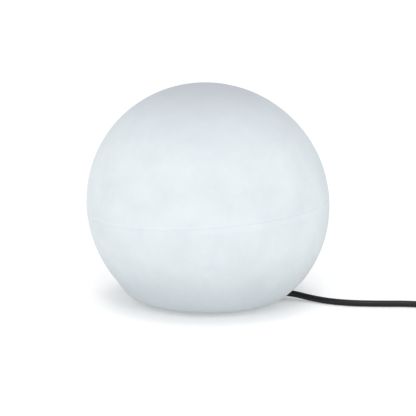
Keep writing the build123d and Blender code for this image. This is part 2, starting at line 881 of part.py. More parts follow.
with BuildPart() as bulb_screw_cap:
    with BuildSketch(Plane.XZ):
        with BuildLine():
            collar_start = cap_top - cap_collar_height
            Polyline(
                (thread_root_radius - cap_wall, cap_bottom),
                (thread_root_radius, cap_bottom),
                (thread_root_radius, collar_start),
                (thread_crest_radius, collar_start + cap_wall),
                (thread_crest_radius, cap_top),
                (thread_root_radius - cap_wall, cap_top),
                close=True,
            )
        make_face()
    revolve(axis=Axis.Z)
    add(round_thread(thread_start, thread_turns))
    with BuildSketch(Plane.XY.offset(cap_bottom)):
        Circle(thread_root_radius - cap_wall)
    extrude(amount=cap_height, mode=Mode.SUBTRACT)

with BuildPart() as bulb_insulator:
    with BuildSketch(Plane.XY.offset(insulator_bottom)):
        Circle(contact_button_radius)
    with BuildSketch(Plane.XY.offset(cap_bottom)):
        Circle(thread_root_radius - fit_gap)
    loft()

with BuildPart() as bulb_contact:
    with BuildSketch(Plane.XY.offset(bulb_tip)):
        Circle(contact_button_radius)
    extrude(amount=contact_button_height)
    fillet(bulb_contact.edges().group_by(Axis.Z)[0], radius=0.6 * contact_button_height)

split_inner = sqrt((bulb_radius - bulb_wall) ** 2 - (bulb_ball_z - bulb_split_z) ** 2)
with BuildPart() as bulb_diffuser:
    with BuildSketch(Plane.XZ):
        with BuildLine():
            inner_ball = bulb_radius - bulb_wall
            outer_top = (0, bulb_ball_z + bulb_radius)
            inner_top = (0, bulb_ball_z + inner_ball)
            outer_edge = (bulb_split_radius, bulb_split_z)
            inner_edge = (split_inner, bulb_split_z)
            ThreePointArc(outer_edge, (bulb_radius, bulb_ball_z), outer_top)
            Line(outer_top, inner_top)
            ThreePointArc(inner_top, (inner_ball, bulb_ball_z), inner_edge)
            Line(inner_edge, outer_edge)
        make_face()
    revolve(axis=Axis.Z)

housing_plug_radius = thread_root_radius - cap_wall - fit_gap
housing_bore = housing_plug_radius - housing_wall
with BuildPart() as bulb_housing:
    with BuildSketch(Plane.XZ):
        with BuildLine():
            neck_point = (housing_neck_radius, cap_top)
            rim_point = (bulb_split_radius + housing_rim, bulb_split_z)
            waist = (
                (neck_point[0] + rim_point[0]) / 2 - housing_waist_bulge,
                (cap_top + bulb_split_z) / 2,
            )
            Polyline(
                neck_point,
                (housing_plug_radius, cap_top),
                (housing_plug_radius, cap_top - housing_plug_depth),
                (housing_bore, cap_top - housing_plug_depth),
                (housing_bore, cap_top + housing_wall),
            )
            ThreePointArc(
                (housing_bore, cap_top + housing_wall),
                (waist[0] - housing_wall, waist[1]),
                (rim_point[0] - housing_wall, bulb_split_z),
            )
            Line((rim_point[0] - housing_wall, bulb_split_z), rim_point)
            ThreePointArc(rim_point, waist, neck_point)
        make_face()
    revolve(axis=Axis.Z)

board_z = bulb_split_z - led_board_below_split
board_edge = housing_wall + led_board_gap + housing_cone_slope * led_board_below_split
board_radius = bulb_split_radius + housing_rim - board_edge
with BuildPart() as bulb_led_board:
    with BuildSketch(Plane.XY.offset(board_z)):
        Circle(board_radius)
    extrude(amount=led_board_thickness)

with BuildPart() as bulb_leds:
    with BuildSketch(Plane.XY.offset(board_z + led_board_thickness)):
        with PolarLocations(led_circle, led_count):
            Rectangle(led_side, led_side)
    extrude(amount=led_height)

with BuildPart() as bulb_driver_board:
    with BuildSketch(Plane.XY.offset(board_z)):
        Rectangle(driver_board_width, driver_board_thickness)
    extrude(amount=-driver_board_height)

with BuildPart() as bulb_driver_parts:
    parts_top = board_z - driver_parts_drop
    board_face = driver_board_thickness / 2
    with BuildSketch(Plane.XY.offset(parts_top)):
        with Locations((0, board_face + capacitor_radius)):
            Circle(capacitor_radius)
    extrude(amount=-capacitor_height)
    with BuildSketch(Plane.XY.offset(parts_top)):
        with Locations((0, -board_face - choke_side / 2)):
            Rectangle(choke_side, choke_side)
    extrude(amount=-choke_height)

# ---------------------------------------------------------------- free cord and its put-away coil

def cord_tube(points):
    """Round cord along straight runs joined by even arcs."""
    with BuildPart() as tube:
        with BuildLine():
            route = FilletPolyline(*points, radius=bend_radii(points))
        with BuildSketch(Plane(route @ 0, z_dir=route % 0)):
            Circle(cord_radius)
        sweep(path=route)
    ratio = tube.part.volume / (pi * cord_radius**2 * route.length)
    print("cord stretch", round(route.length, 1), "mm, volume over section x length", round(ratio, 4))
    print("bend radii", [round(radius) for radius in bend_radii(points)])
    return tube


cord_run = cord_tube(cord_route)
cord_tail = cord_tube(tail_route)

coil_floor = Plane((coil_centre_x, coil_centre_y, coil_base))
entry_section = Plane(coil_in_start, x_dir=(0, 1, 0), z_dir=(1, 0, 0))
exit_section = Plane(coil_out_end, x_dir=(1, 0, 0), z_dir=(0, 1, 0))
with BuildPart() as cord_coil:
    with BuildSketch(coil_floor):
        Circle(coil_outer)
        Circle(coil_inner, mode=Mode.SUBTRACT)
    extrude(amount=coil_height)
    fillet(cord_coil.edges().filter_by(GeomType.CIRCLE), radius=coil_edge_radius)
    with BuildSketch(entry_section):
        Circle(cord_radius)
    extrude(amount=coil_lead_in)
    with BuildSketch(exit_section):
        Circle(cord_radius)
    extrude(amount=-coil_lead_in)

# band across the coil's far side, with its own thickness under the turns
tie_section = Plane((coil_centre_x, coil_centre_y, 0), x_dir=(0, 1, 0), z_dir=(1, 0, 0))
tie_inner_edge = sqrt(coil_inner**2 - (tie_width / 2) ** 2) - tie_clearance
tie_outer_edge = coil_outer + tie_clearance
tie_span = tie_outer_edge - tie_inner_edge
tie_middle = (tie_outer_edge + tie_inner_edge) / 2
tie_rise = coil_height + 2 * tie_clearance
with BuildPart() as coil_tie:
    with BuildSketch(tie_section):
        with Locations((tie_middle, tie_thickness + tie_rise / 2)):
            RectangleRounded(tie_span + 2 * tie_thickness, tie_rise + 2 * tie_thickness, coil_edge_radius)
            Rectangle(tie_span, tie_rise, mode=Mode.SUBTRACT)
        with Locations((tie_middle, tie_rise + 2 * tie_thickness + tie_buckle_height / 2)):
            Rectangle(tie_width, tie_buckle_height)
    extrude(amount=tie_width / 2, both=True)

# ---------------------------------------------------------------- two-pin plug, lying on its flat side

boot_rear = Plane((plug_x, plug_start_y, plug_z), x_dir=(-1, 0, 0), z_dir=(0, 1, 0))
boot_side = Plane((plug_x, plug_start_y, plug_z), x_dir=(0, 1, 0), z_dir=(1, 0, 0))
boot_axis = Axis((plug_x, plug_start_y, plug_z), (0, 1, 0))
with BuildPart() as plug_boot:
    with BuildSketch(boot_rear):
        Circle(boot_rear_radius)
    with BuildSketch(boot_rear.offset(boot_length)):
        Circle(boot_front_radius)
    loft()
    # flexing grooves
    ring_step = boot_length / (boot_ring_count + 1)
    with BuildSketch(boot_side):
        for ring in range(boot_ring_count):
            along = (ring + 1) * ring_step
            taper = (boot_front_radius - boot_rear_radius) * along / boot_length
            with Locations((along, boot_rear_radius + taper)):
                Rectangle(boot_ring_width, 2 * boot_ring_depth)
    revolve(axis=boot_axis, mode=Mode.SUBTRACT)

with BuildPart() as plug_body:
    rear = boot_rear.offset(boot_length)
    with BuildSketch(rear):
        RectangleRounded(plug_rear_width, plug_rear_thickness, plug_rear_corner_radius)
    with BuildSketch(rear.offset(plug_shoulder)):
        RectangleRounded(plug_width, plug_thickness, plug_corner_radius)
    loft()
    with BuildSketch(rear.offset(plug_shoulder)):
        RectangleRounded(plug_width, plug_thickness, plug_corner_radius)
    extrude(amount=plug_length - plug_shoulder)
    fillet(plug_body.edges().group_by(Axis.Y)[-1], radius=plug_edge_radius)
    with BuildSketch(rear.offset(plug_length)):
        with GridLocations(pin_spacing, 1, 2, 1):
            Circle(pin_seat_radius)
    extrude(amount=-pin_seat, mode=Mode.SUBTRACT)

with BuildPart() as plug_pins:
    with BuildSketch(rear.offset(plug_length)):
        with GridLocations(pin_spacing, 1, 2, 1):
            Circle(pin_seat_radius)
    extrude(amount=-pin_seat)
    with BuildSketch(rear.offset(plug_length)):
        with GridLocations(pin_spacing, 1, 2, 1):
            Circle(pin_radius)
    extrude(amount=pin_length)
    fillet(plug_pins.edges().group_by(Axis.Y)[-1], radius=pin_tip_radius)

# ---------------------------------------------------------------- labels and files

pieces = {
    "globe_shell": globe_shell,
    "threaded_inserts": threaded_inserts,
    "base_skirt": base_skirt,
    "base_plate": base_plate,
    "base_pan": base_pan,
    "foot_ring": foot_ring,
    "base_gasket": base_gasket,
    "globe_screws": globe_screws,
    "gland_washer": gland_washer,
    "gland_body": gland_body,
    "gland_seal": gland_seal,
    "gland_nut": gland_nut,
    "gland_locknut": gland_locknut,
    "cord_entry": cord_entry,
    "cord_clamp": cord_clamp,
    "clamp_screws": clamp_screws,
    "live_lead": live_lead,
    "neutral_lead": neutral_lead,
    "wiring_cover": wiring_cover,
    "cover_screws": cover_screws,
    "holder_nipple": holder_nipple,
    "nipple_nut": nipple_nut,
    "holder_cap": holder_cap,
    "holder_sleeve": holder_sleeve,
    "holder_insert": holder_insert,
    "holder_terminals": holder_terminals,
    "holder_contact": holder_contact,
    "holder_shell": holder_shell,
    "bulb_screw_cap": bulb_screw_cap,
    "bulb_insulator": bulb_insulator,
    "bulb_contact": bulb_contact,
    "bulb_housing": bulb_housing,
    "bulb_diffuser": bulb_diffuser,
    "bulb_led_board": bulb_led_board,
    "bulb_leds": bulb_leds,
    "bulb_driver_board": bulb_driver_board,
    "bulb_driver_parts": bulb_driver_parts,
    "cord_run": cord_run,
    "cord_coil": cord_coil,
    "coil_tie": coil_tie,
    "cord_tail": cord_tail,
    "plug_boot": plug_boot,
    "plug_body": plug_body,
    "plug_pins": plug_pins,
}

os.makedirs("parts", exist_ok=True)
for name, piece in pieces.items():
    piece.part.label = name
    export_step(piece.part, f"parts/{name}.step")
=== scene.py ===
# %% [markdown]
# # A garden globe light
# This light is a thick-walled ball of opal polyethylene, 300 mm across, that stands on a small black base and
# glows a cool white. A black rubber cord leaves it at the ground. The solids of every part are already there, at
# their real size, in one fixed frame with +Z up and the origin on the ground under the ball. The work here is the
# skin: the ball, the cord and the finishes, each in the place that the solids give.

# %% The fixed frame
from math import atan2, cos, pi, radians, sin

import bmesh
import bpy
from mathutils import Euler, Matrix, Vector


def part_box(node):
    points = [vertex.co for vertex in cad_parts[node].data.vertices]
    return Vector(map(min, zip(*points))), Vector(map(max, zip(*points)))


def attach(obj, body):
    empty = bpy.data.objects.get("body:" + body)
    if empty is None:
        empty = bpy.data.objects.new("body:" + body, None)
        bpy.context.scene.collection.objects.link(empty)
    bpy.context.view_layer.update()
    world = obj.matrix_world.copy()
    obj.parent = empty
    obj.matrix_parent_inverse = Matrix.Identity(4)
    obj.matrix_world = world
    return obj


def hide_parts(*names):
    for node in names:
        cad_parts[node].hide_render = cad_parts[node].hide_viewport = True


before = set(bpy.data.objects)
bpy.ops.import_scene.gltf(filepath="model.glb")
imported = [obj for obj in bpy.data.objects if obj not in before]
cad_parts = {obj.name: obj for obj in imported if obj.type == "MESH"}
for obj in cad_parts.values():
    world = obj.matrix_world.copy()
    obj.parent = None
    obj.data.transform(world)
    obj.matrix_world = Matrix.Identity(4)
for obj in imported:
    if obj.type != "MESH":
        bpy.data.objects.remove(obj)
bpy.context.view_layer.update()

# %% [markdown]
# ## Camera
# The outline of the ball and of its flat underside tell where the photographer stood: about two metres away and a
# little above the ball, with a long lens. The camera could be aimed at the ball's middle and shifted, but a turn of
# a fifth of a degree frames it as well and keeps the lens plain.

# %% Camera
MM = 0.001
ball_middle = Vector((0.0, 0.0, 119.985)) * MM
camera_height = radians(11.37)
camera_distance = 2.0
aim_below_ball = radians(0.18)

camera_data = bpy.data.cameras.new("camera")
camera = bpy.data.objects.new("camera", camera_data)
bpy.context.scene.collection.objects.link(camera)
camera_data.lens = 139.83
camera_data.sensor_width = 36.0
toward_camera = Vector((0.0, -cos(camera_height), sin(camera_height)))
camera.location = ball_middle + toward_camera * camera_distance
camera.rotation_euler = (pi / 2 - camera_height - aim_below_ball, 0.0, 0.0)
bpy.context.scene.camera = camera
print("camera at", camera.location[:])

# %% [markdown]
# ## Cord
# The cord is a round rubber mains cord, 8 mm thick and about two metres long. It leaves the gland under the ball,
# drops to the ground and runs off to the right in a lazy bend. What the photograph doesn't show is wound into a
# neat coil of two layers with a tie, and ends in a two-pin plug. A tube could be swept along straight runs, but
# that looks like bent wire. One smooth NURBS line through the whole cord bends as rubber does.

# %% Cord's route
cord_radius = 4.0 * MM
open_run = [
    (62.22, -8.74, 12.20), (82.02, -11.53, 9.74), (107.0, -12.8, 7.6), (124.0, -22.2, 5.2),
    (148.0, -36.6, 4.0), (178.0, -46.2, 4.0), (212.0, -48.3, 4.0), (246.0, -48.0, 4.0), (277.0, -57.0, 4.1),
    (304.0, -57.0, 4.1),
]
tail_run = [(392.0, 31.0, 13.6), (392.0, 37.0, 13.6), (393.2, 48.0, 13.0), (393.2, 55.0, 13.0)]

# two layers of turns: inwards on the ground, then outwards on top of them, one cord's width apart
coil_middle = (336.0, -1.0)
coil_outer_turn = 56.0
coil_pitch = 8.0
coil_lanes = 3.125
points_per_turn = 16
lower_layer = 4.1
layer_step = 8.1
climb_turns = 0.35
tie_thickness = 1.5
tie_angle = 90.0


def coil_point(turn):
    """Control point of the coil after this many turns, in millimetres."""
    angle = -90.0 + 360.0 * turn
    inward = min(turn, 2 * coil_lanes - turn)
    reach = coil_outer_turn - coil_pitch * inward
    # a control point stands outside the circle that the line then follows
    reach /= (3 + cos(2 * pi / points_per_turn)) / 4
    climb = min(max((turn - coil_lanes) / climb_turns + 0.5, 0.0), 1.0)
    from_tie = abs((angle - tie_angle + 180.0) % 360.0 - 180.0)
    over_tie = tie_thickness * max(0.0, cos(radians(min(from_tie, 90.0)))) ** 2
    height = lower_layer + layer_step * climb * climb * (3 - 2 * climb) + over_tie
    x = coil_middle[0] + reach * cos(radians(angle))
    y = coil_middle[1] + reach * sin(radians(angle))
    return (x, y, height)


steps = round(2 * coil_lanes * points_per_turn)
coil_run = [coil_point(step / points_per_turn) for step in range(1, steps)]
route = [Vector(point) * MM for point in open_run + coil_run + tail_run]
print(len(route), "points along the cord")

# %% [markdown]
# The route's points become the control points of a quadratic NURBS line, which starts at the first and ends at the
# last. A bevel gives it its thickness. Its centre line is read while it is thin.

# %% Cord as one curve
cord_curve = bpy.data.curves.new("supply_cord", "CURVE")
cord_curve.dimensions = "3D"
cord_curve.resolution_u = 10
cord_curve.bevel_resolution = 6
cord_curve.use_fill_caps = True
spline = cord_curve.splines.new("NURBS")
spline.points.add(len(route) - 1)
for point, place in zip(spline.points, route):
    point.co = (*place, 1.0)
spline.order_u = 3
spline.use_endpoint_u = True
cord = bpy.data.objects.new("supply_cord", cord_curve)
bpy.context.scene.collection.objects.link(cord)


def centre_line(piece):
    """Points along the cord's smooth line, read while the curve has no thickness."""
    piece.data.bevel_depth = 0.0
    bpy.context.view_layer.update()
    line = bpy.data.meshes.new_from_object(piece.evaluated_get(bpy.context.evaluated_depsgraph_get()))
    places = [vertex.co.copy() for vertex in line.vertices]
    bpy.data.meshes.remove(line)
    return places


cord_line = centre_line(cord)
cord_curve.bevel_depth = cord_radius

# %% [markdown]
# ## Small helpers
# Most pieces are modelled as by hand: a primitive, a few edit-mode operators on picked vertices or edges, then
# modifiers that are applied. Operators act on whatever is selected, so each piece starts from nothing selected.
# A finish is a node tree; one function adds a node with its settings and its links, and one turns an sRGB hex
# value, as a paint chart gives it, into the linear colour that a shader wants.

# %% Modelling helpers
def only(piece):
    """Leaves edit mode and selects this piece alone."""
    if bpy.context.mode != "OBJECT":
        bpy.ops.object.mode_set(mode="OBJECT")
    bpy.ops.object.select_all(action="DESELECT")
    if piece:
        piece.select_set(True)
        bpy.context.view_layer.objects.active = piece


def start_piece(name, add, **settings):
    """Adds a primitive under this name and opens it for editing with nothing selected."""
    only(None)
    add(**settings)
    piece = bpy.context.object
    piece.name = name
    piece.data.name = name
    bpy.ops.object.transform_apply(location=True, rotation=True, scale=True)
    bpy.ops.object.mode_set(mode="EDIT")
    bpy.ops.mesh.select_all(action="DESELECT")
    return piece


def pick(piece, kind, test):
    """Selects the vertices or edges whose points pass the test, and says how many."""
    bpy.ops.mesh.select_mode(type=kind)
    bpy.ops.mesh.select_all(action="DESELECT")
    mesh = bmesh.from_edit_mesh(piece.data)
    found = 0
    for part in mesh.verts if kind == "VERT" else mesh.edges:
        points = [part.co] if kind == "VERT" else [end.co for end in part.verts]
        if test(*points):
            part.select_set(True)
            found += 1
    mesh.select_flush_mode()
    bmesh.update_edit_mesh(piece.data)
    return found


def finish_piece(piece, smooth=30.0):
    """Closes edit mode, turns faces outwards and smooths the shading up to this angle."""
    if bpy.context.mode != "EDIT_MESH":
        only(piece)
        bpy.ops.object.mode_set(mode="EDIT")
    bpy.ops.mesh.select_all(action="SELECT")
    bpy.ops.mesh.normals_make_consistent(inside=False)
    only(piece)
    bpy.ops.object.shade_smooth_by_angle(angle=radians(smooth))
    print(piece.name, "has", len(piece.data.polygons), "faces")


def apply_modifier(piece, name, kind, **settings):
    """Adds one modifier with its settings and applies it."""
    only(piece)
    modifier = piece.modifiers.new(name, kind)
    for setting, value in settings.items():
        setattr(modifier, setting, value)
    bpy.ops.object.modifier_apply(modifier=modifier.name)


def discard(*helpers):
    """Removes shapes that only served to cut others."""
    for helper in helpers:
        bpy.data.objects.remove(helper)


print("modelling starts in", bpy.context.mode, "mode")

# %% [markdown]
# Most finishes need the same three links, from a tone, a shine and a bump to the shader, so one function makes them.
# Another tells the floor and the sky whether a ray comes from the camera, from a glossy surface or through glass.

# %% Node helpers
def colour(hex_value):
    """Linear colour of an sRGB hex value such as #E6EEF2."""
    parts = [int(hex_value[i:i + 2], 16) / 255 for i in (1, 3, 5)]
    return tuple(c / 12.92 if c <= 0.04045 else ((c + 0.055) / 1.055) ** 2.4 for c in parts) + (1.0,)


def node(material, kind, inputs=None, **settings):
    """Adds one node; each input is a value or another node's output, which is then linked."""
    tree = material.node_tree
    new = tree.nodes.new(kind)
    for name, value in settings.items():
        setattr(new, name, value)
    for name, value in (inputs or {}).items():
        if isinstance(value, bpy.types.NodeSocket):
            tree.links.new(value, new.inputs[name])
        else:
            new.inputs[name].default_value = value
    return new


def new_material(name):
    """Empty node material and its principled shader, already linked to the output."""
    material = bpy.data.materials.new(name)
    material.use_nodes = True
    material.node_tree.nodes.clear()
    shader = node(material, "ShaderNodeBsdfPrincipled")
    node(material, "ShaderNodeOutputMaterial", {"Surface": shader.outputs["BSDF"]})
    return material, shader


def link_skin(material, shader, tone, gloss, bumps):
    """Links a colour mix, a roughness range and a bump to the shader."""
    links = material.node_tree.links
    links.new(tone.outputs[2], shader.inputs["Base Color"])
    links.new(gloss.outputs["Result"], shader.inputs["Roughness"])
    links.new(bumps.outputs["Normal"], shader.inputs["Normal"])


def seen_directly(owner):
    """Output that is 1 for rays from the camera, from a glossy surface or through glass, and otherwise 0."""
    path = node(owner, "ShaderNodeLightPath")
    seen = node(owner, "ShaderNodeMath", {0: path.outputs["Is Camera Ray"], 1: path.outputs["Is Glossy Ray"]},
                operation="MAXIMUM")
    return node(owner, "ShaderNodeMath", {0: seen.outputs[0], 1: path.outputs["Is Transmission Ray"]},
                operation="MAXIMUM").outputs[0]


print("middle grey #808080 is", round(colour("#808080")[0], 3), "in linear light")

# %% [markdown]
# ## The ball's plastic
# The ball is rotationally moulded polyethylene with white pigment. Powder melts on the wall of a turning mould, so
# the skin is dull, not polished, and its thickness wanders by a few tenths of a millimetre over spans of a few
# centimetres. Lit from inside, that shows as soft clouds. Real light through a 3 mm wall could be traced, but it
# is slow and grainy. The wall here carries its glow itself, as emission: a cool white times four shares. They are
# the clouds, the height, the side and the parting line, and each is a few nodes on the piece's own coordinates. The
# height and side shares also paint shade onto the glow.

# %% Opal polyethylene: clouds
cloud_size_mm = 38.0
fine_cloud_size_mm = 11.0
cloud_depth = 0.08
ball_radius = 150.0 * MM

opal, opal_shader = new_material("opal_polyethylene_lit")
place = node(opal, "ShaderNodeTexCoord").outputs["Object"]
clouds = node(opal, "ShaderNodeTexNoise", {"Vector": place, "Scale": 1 / (cloud_size_mm * MM), "Detail": 2.0,
                                           "Roughness": 0.45})
fine_clouds = node(opal, "ShaderNodeTexNoise", {"Vector": place, "Scale": 1 / (fine_cloud_size_mm * MM),
                                                "Detail": 2.0, "Roughness": 0.5})
both_clouds = node(opal, "ShaderNodeMix", {"Factor": 0.3, "A": clouds.outputs["Fac"],
                                           "B": fine_clouds.outputs["Fac"]}, data_type="FLOAT")
wall_light = node(opal, "ShaderNodeMapRange", {"Value": both_clouds.outputs["Result"], "From Min": 0.3,
                                               "From Max": 0.7, "To Min": 1 - cloud_depth,
                                               "To Max": 1 + cloud_depth})
print("clouds are", cloud_size_mm, "and", fine_cloud_size_mm, "mm wide")

# %% [markdown]
# The ball is brightest about its middle and falls off towards its top and its foot, which lie further from the lamp.
# The falloff is also painted shade, a darker top and foot as the light falls on the ball.
# A colour ramp over the height says how much. Its shares were found in trial renders.

# %% Opal polyethylene: glow and painted shade by height
place_xyz = node(opal, "ShaderNodeSeparateXYZ", {"Vector": place})
level = node(opal, "ShaderNodeMapRange", {"Value": place_xyz.outputs["Z"],
                                          "From Min": ball_middle.z - ball_radius,
                                          "From Max": ball_middle.z + ball_radius,
                                          "To Min": 0.0, "To Max": 1.0})
# glow and painted shade together: the ramp darkens the top and the foot
falloff = node(opal, "ShaderNodeValToRGB", {"Fac": level.outputs["Result"]})
falloff.color_ramp.interpolation = "B_SPLINE"
heights = [(0.1, 0.46), (0.2, 0.57), (0.29, 0.86), (0.375, 0.99), (0.4875, 1.0), (0.6125, 0.97), (0.725, 0.91),
           (0.8125, 0.75), (0.88, 0.57), (0.9325, 0.36), (1.0, 0.02)]
while len(falloff.color_ramp.elements) < len(heights):
    falloff.color_ramp.elements.new(0.5)
for element, (position, share) in zip(falloff.color_ramp.elements, heights):
    element.position = position
    element.color = (share, share, share, 1.0)
print("glow is given at", len(heights), "heights")

# %% [markdown]
# The back, the right and the top glow a quarter less. That is painted shade: those sides stand darker as the light
# falls, and the glow carries it. The dot product with the unshaded side's direction, divided by the radius, runs
# from -1 on the shaded side to 1 on the unshaded one.

# %% Opal polyethylene: painted shade on one side
unshaded_side = Vector((-0.24, -0.92, -0.26)).normalized()
painted_shade_share = 0.75
from_middle = node(opal, "ShaderNodeVectorMath", {0: place, 1: ball_middle}, operation="SUBTRACT")
toward_unshaded = node(opal, "ShaderNodeVectorMath", {0: from_middle.outputs["Vector"],
                                                  1: unshaded_side / ball_radius}, operation="DOT_PRODUCT")
# painted shade: the glow drops smoothly from the front, left and foot to the back, right and top
painted_side_shade = node(opal, "ShaderNodeMapRange", {"Value": toward_unshaded.outputs["Value"], "From Min": -0.25,
                                               "From Max": 0.36, "To Min": painted_shade_share, "To Max": 1.0},
                  interpolation_type="SMOOTHSTEP")
print("painted shade leaves the far side", painted_shade_share, "of the near side's glow")

# %% [markdown]
# Where the two halves of the mould meet, a fine bead stands on the wall. It is thicker than the wall and passes a
# little less light, while the wall just below it is thin and shows a faint brighter band. Both follow the skin's own
# map, whose middle line is the parting line. The mould closed better on the left, where the line nearly vanishes.

# %% Opal polyethylene: parting line
skin_map = node(opal, "ShaderNodeUVMap", uv_map="UVMap")
around = node(opal, "ShaderNodeSeparateXYZ", {"Vector": skin_map.outputs["UV"]})
band_reach, band_gain = 13.0 * MM, 0.14
bead_half_width, bead_loss = 0.9 * MM, 0.12
faint_until, clear_from, faint_share = -60.0 * MM, 50.0 * MM, 0.12
# the map's Y runs from 0 to 1 over the wall's length from pole to pole
pole_to_pole = pi * ball_radius
band = node(opal, "ShaderNodeMapRange", {"Value": around.outputs["Y"],
                                         "From Min": 0.5 - band_reach / pole_to_pole, "From Max": 0.5,
                                         "To Min": 0.0, "To Max": 1.0})
below = node(opal, "ShaderNodeMath", {0: around.outputs["Y"], 1: 0.5}, operation="LESS_THAN")
band_shape = node(opal, "ShaderNodeMath", {0: band.outputs["Result"], 1: 2.0}, operation="POWER")
seam_light = node(opal, "ShaderNodeMath", {0: band_shape.outputs[0], 1: below.outputs[0]},
                  operation="MULTIPLY")
on_bead = node(opal, "ShaderNodeMath", {0: around.outputs["Y"], 1: 0.5, 2: bead_half_width / pole_to_pole},
               operation="COMPARE")
bead_shade = node(opal, "ShaderNodeMath", {0: on_bead.outputs[0], 1: -bead_loss}, operation="MULTIPLY")
seam_change = node(opal, "ShaderNodeMath", {0: seam_light.outputs[0], 1: band_gain, 2: bead_shade.outputs[0]},
                   operation="MULTIPLY_ADD")
seam_share = node(opal, "ShaderNodeMapRange", {"Value": place_xyz.outputs["X"], "From Min": faint_until,
                                               "From Max": clear_from, "To Min": faint_share, "To Max": 1.0},
                  interpolation_type="SMOOTHSTEP")
seam_gain = node(opal, "ShaderNodeMath", {0: seam_change.outputs[0], 1: seam_share.outputs["Result"], 2: 1.0},
                 operation="MULTIPLY_ADD")
print("bead is", 2 * bead_half_width / MM, "mm wide in the glow")

# %% [markdown]
# The four shares are multiplied and scaled to the glow. The skin under it is a pale blue-grey, as opal plastic is by
# daylight. It is dull, with nearly no mirror in it, and has the fine orange peel of a sandblasted mould.

# %% Opal polyethylene: skin and glow
skin_grain_mm = 1.3
glow = 0.354
lit = node(opal, "ShaderNodeMath", {0: falloff.outputs["Color"], 1: wall_light.outputs["Result"]},
           operation="MULTIPLY")
lit_seam = node(opal, "ShaderNodeMath", {0: lit.outputs[0], 1: seam_gain.outputs[0]}, operation="MULTIPLY")
# painted shade: the back, right and top glow a quarter less
side_shaded = node(opal, "ShaderNodeMath", {0: lit_seam.outputs[0], 1: painted_side_shade.outputs["Result"]},
                operation="MULTIPLY")
strength = node(opal, "ShaderNodeMath", {0: side_shaded.outputs[0], 1: glow}, operation="MULTIPLY")

skin_tone = node(opal, "ShaderNodeMix", {"Factor": both_clouds.outputs["Result"], "A": colour("#C7CDD4"),
                                         "B": colour("#CDD3D9")}, data_type="RGBA")
grain = node(opal, "ShaderNodeTexNoise", {"Vector": place, "Scale": 1 / (skin_grain_mm * MM), "Detail": 3.0})
roughness = node(opal, "ShaderNodeMapRange", {"Value": grain.outputs["Fac"], "To Min": 0.62, "To Max": 0.74})
bump = node(opal, "ShaderNodeBump", {"Height": grain.outputs["Fac"], "Strength": 0.12, "Distance": 0.1 * MM})
link_skin(opal, opal_shader, skin_tone, roughness, bump)
opal.node_tree.links.new(strength.outputs[0], opal_shader.inputs["Emission Strength"])
opal_shader.inputs["Emission Color"].default_value = colour("#F5FFFD")
opal_shader.inputs["IOR"].default_value = 1.51
opal_shader.inputs["Specular IOR Level"].default_value = 0.05
print("opal polyethylene glows at", glow)

# %% [markdown]
# ## The ball
# The ball is one moulding: a sphere, a rounded corner of 30 mm radius, a flat rim, a recess that hides the base and
# a seat with an opening for the lampholder. It could be spun from a drawn section, but then its parting line would
# need cutting in. It starts from a sphere whose middle ring is the parting line, tipped four degrees as in the
# photograph, and the lower end is drawn out ring by ring.

# %% Sphere and parting line
parting_tilt = radians(4.4)
bead_base, bead_height = 0.8 * MM, 0.35 * MM
same_place = 0.01 * MM
globe = start_piece("globe_opal_shell", bpy.ops.mesh.primitive_uv_sphere_add, segments=144, ring_count=96,
                    radius=ball_radius, location=ball_middle, rotation=(0.0, -parting_tilt, 0.0),
                    calc_uvs=True)
parting_normal = Euler((0.0, -parting_tilt, 0.0)).to_matrix() @ Vector((0.0, 0.0, 1.0))


def on_parting(point):
    """True where a point lies in the parting plane."""
    return abs((point - ball_middle).dot(parting_normal)) < same_place


ring_edges = pick(globe, "EDGE", lambda a, b: on_parting(a) and on_parting(b))
bpy.ops.mesh.bevel(offset=bead_base, offset_type="OFFSET", segments=2, profile=0.5, affect="EDGES")
pick(globe, "VERT", on_parting)
bpy.ops.transform.shrink_fatten(value=bead_height)
print("parting line has", ring_edges, "edges")

# %% [markdown]
# A plane cuts the sphere where the rounded corner begins. The open ring is then extruded and scaled, step by step:
# down the corner, in along the flat rim, up into the recess and in again along the seat.

# %% Rounded corner, flat rim, recess and seat
corner_radius = 30.0 * MM
rim_reach = 81.6 * MM
underside = 2.0 * MM
recess_radius, opening_radius = 70.0 * MM, 50.0 * MM
seat_height = 30.5 * MM
inner_rings = [(76.0 * MM, underside), (recess_radius, underside), (recess_radius, 16.0 * MM),
               (recess_radius, seat_height), (60.0 * MM, seat_height), (opening_radius, seat_height)]
corner_middle = Vector((rim_reach, underside + corner_radius))
# reach and height of the ring where the sphere runs into the corner
touch = Vector((102.0, 10.0038)) * MM
touch_angle = atan2(touch.y - corner_middle.y, touch.x - corner_middle.x)
corner_steps = 8

bpy.ops.mesh.select_all(action="SELECT")
bpy.ops.mesh.bisect(plane_co=(0.0, 0.0, touch.y), plane_no=(0.0, 0.0, 1.0), clear_inner=True)
now = Vector((touch.x, touch.y))


def draw_ring(reach, level_z):
    """Extrudes the open ring to this radius and height."""
    global now
    bpy.ops.mesh.extrude_region_move(TRANSFORM_OT_translate={"value": (0.0, 0.0, level_z - now.y)})
    share = reach / now.x
    bpy.ops.transform.resize(value=(share, share, 1.0), center_override=(0.0, 0.0, level_z))
    now = Vector((reach, level_z))


def open_edge(piece):
    """Selects the edges that only one face uses, and says how many."""
    bpy.ops.mesh.select_mode(type="EDGE")
    bpy.ops.mesh.select_all(action="DESELECT")
    bpy.ops.mesh.select_non_manifold(extend=False, use_wire=False, use_boundary=True, use_multi_face=False,
                                     use_non_contiguous=False, use_verts=False)
    return sum(edge.select for edge in bmesh.from_edit_mesh(piece.data).edges)


print("open ring has", open_edge(globe), "edges")
for step in range(1, corner_steps + 1):
    angle = touch_angle + (-pi / 2 - touch_angle) * step / corner_steps
    draw_ring(corner_middle.x + corner_radius * cos(angle), corner_middle.y + corner_radius * sin(angle))
for reach, level_z in inner_rings:
    draw_ring(reach, level_z)
print("ring drawn in to", round(now.x / MM, 1), "mm")

# %% [markdown]
# The wall is 3 mm thick all over. Solidify gives it in one step, once the outer skin is whole and faces outwards.
# Afterwards the recess's sharp edge gets its moulded rounding.

